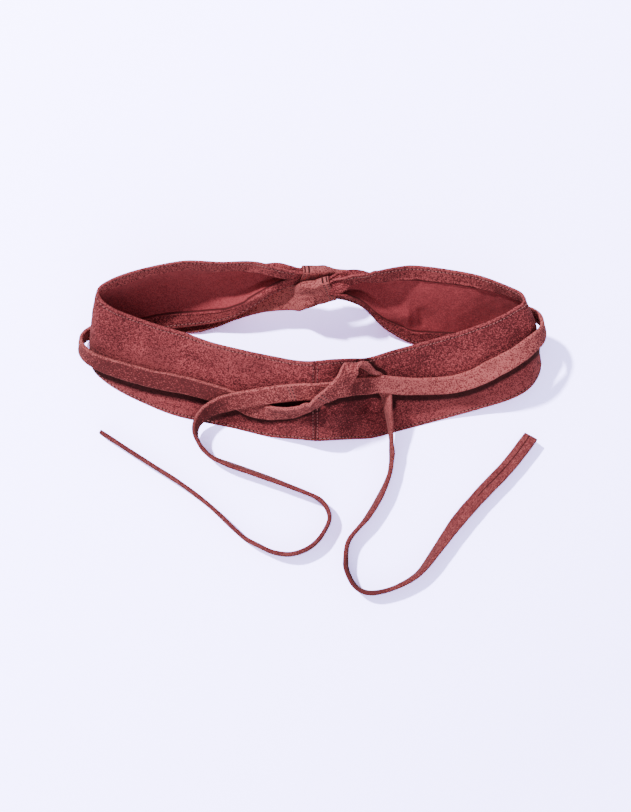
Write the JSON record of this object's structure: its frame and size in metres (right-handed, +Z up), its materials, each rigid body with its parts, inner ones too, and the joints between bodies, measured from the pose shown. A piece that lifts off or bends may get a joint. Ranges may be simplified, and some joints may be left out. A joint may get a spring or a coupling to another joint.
{
  "type": "tie belt",
  "caption": "Wide suede waist belt, its gathered ends sleeved into long flat ties that cross at the back and knot loosely at the front.",
  "frame": {"origin": "middle of the whole belt's bounding box, on the surface that it lies on", "axes": "+Z up, +X to the belt's right end as the picture shows it, +Y from the knotted front to the back where the ties cross"},
  "size_m": [0.3676, 0.2532, 0.0721],
  "materials": {
    "band_suede": "matte suede, dusty rose red",
    "tie_suede": "matte suede, dusty rose red, a little lighter with wear"
  },
  "bodies": {
    "root": {"band_left": "band_suede", "band_right": "band_suede", "tie_left": "tie_suede", "tie_left_end": "tie_suede", "tie_right": "tie_suede", "tie_right_end": "tie_suede"}
  },
  "joints": []
}
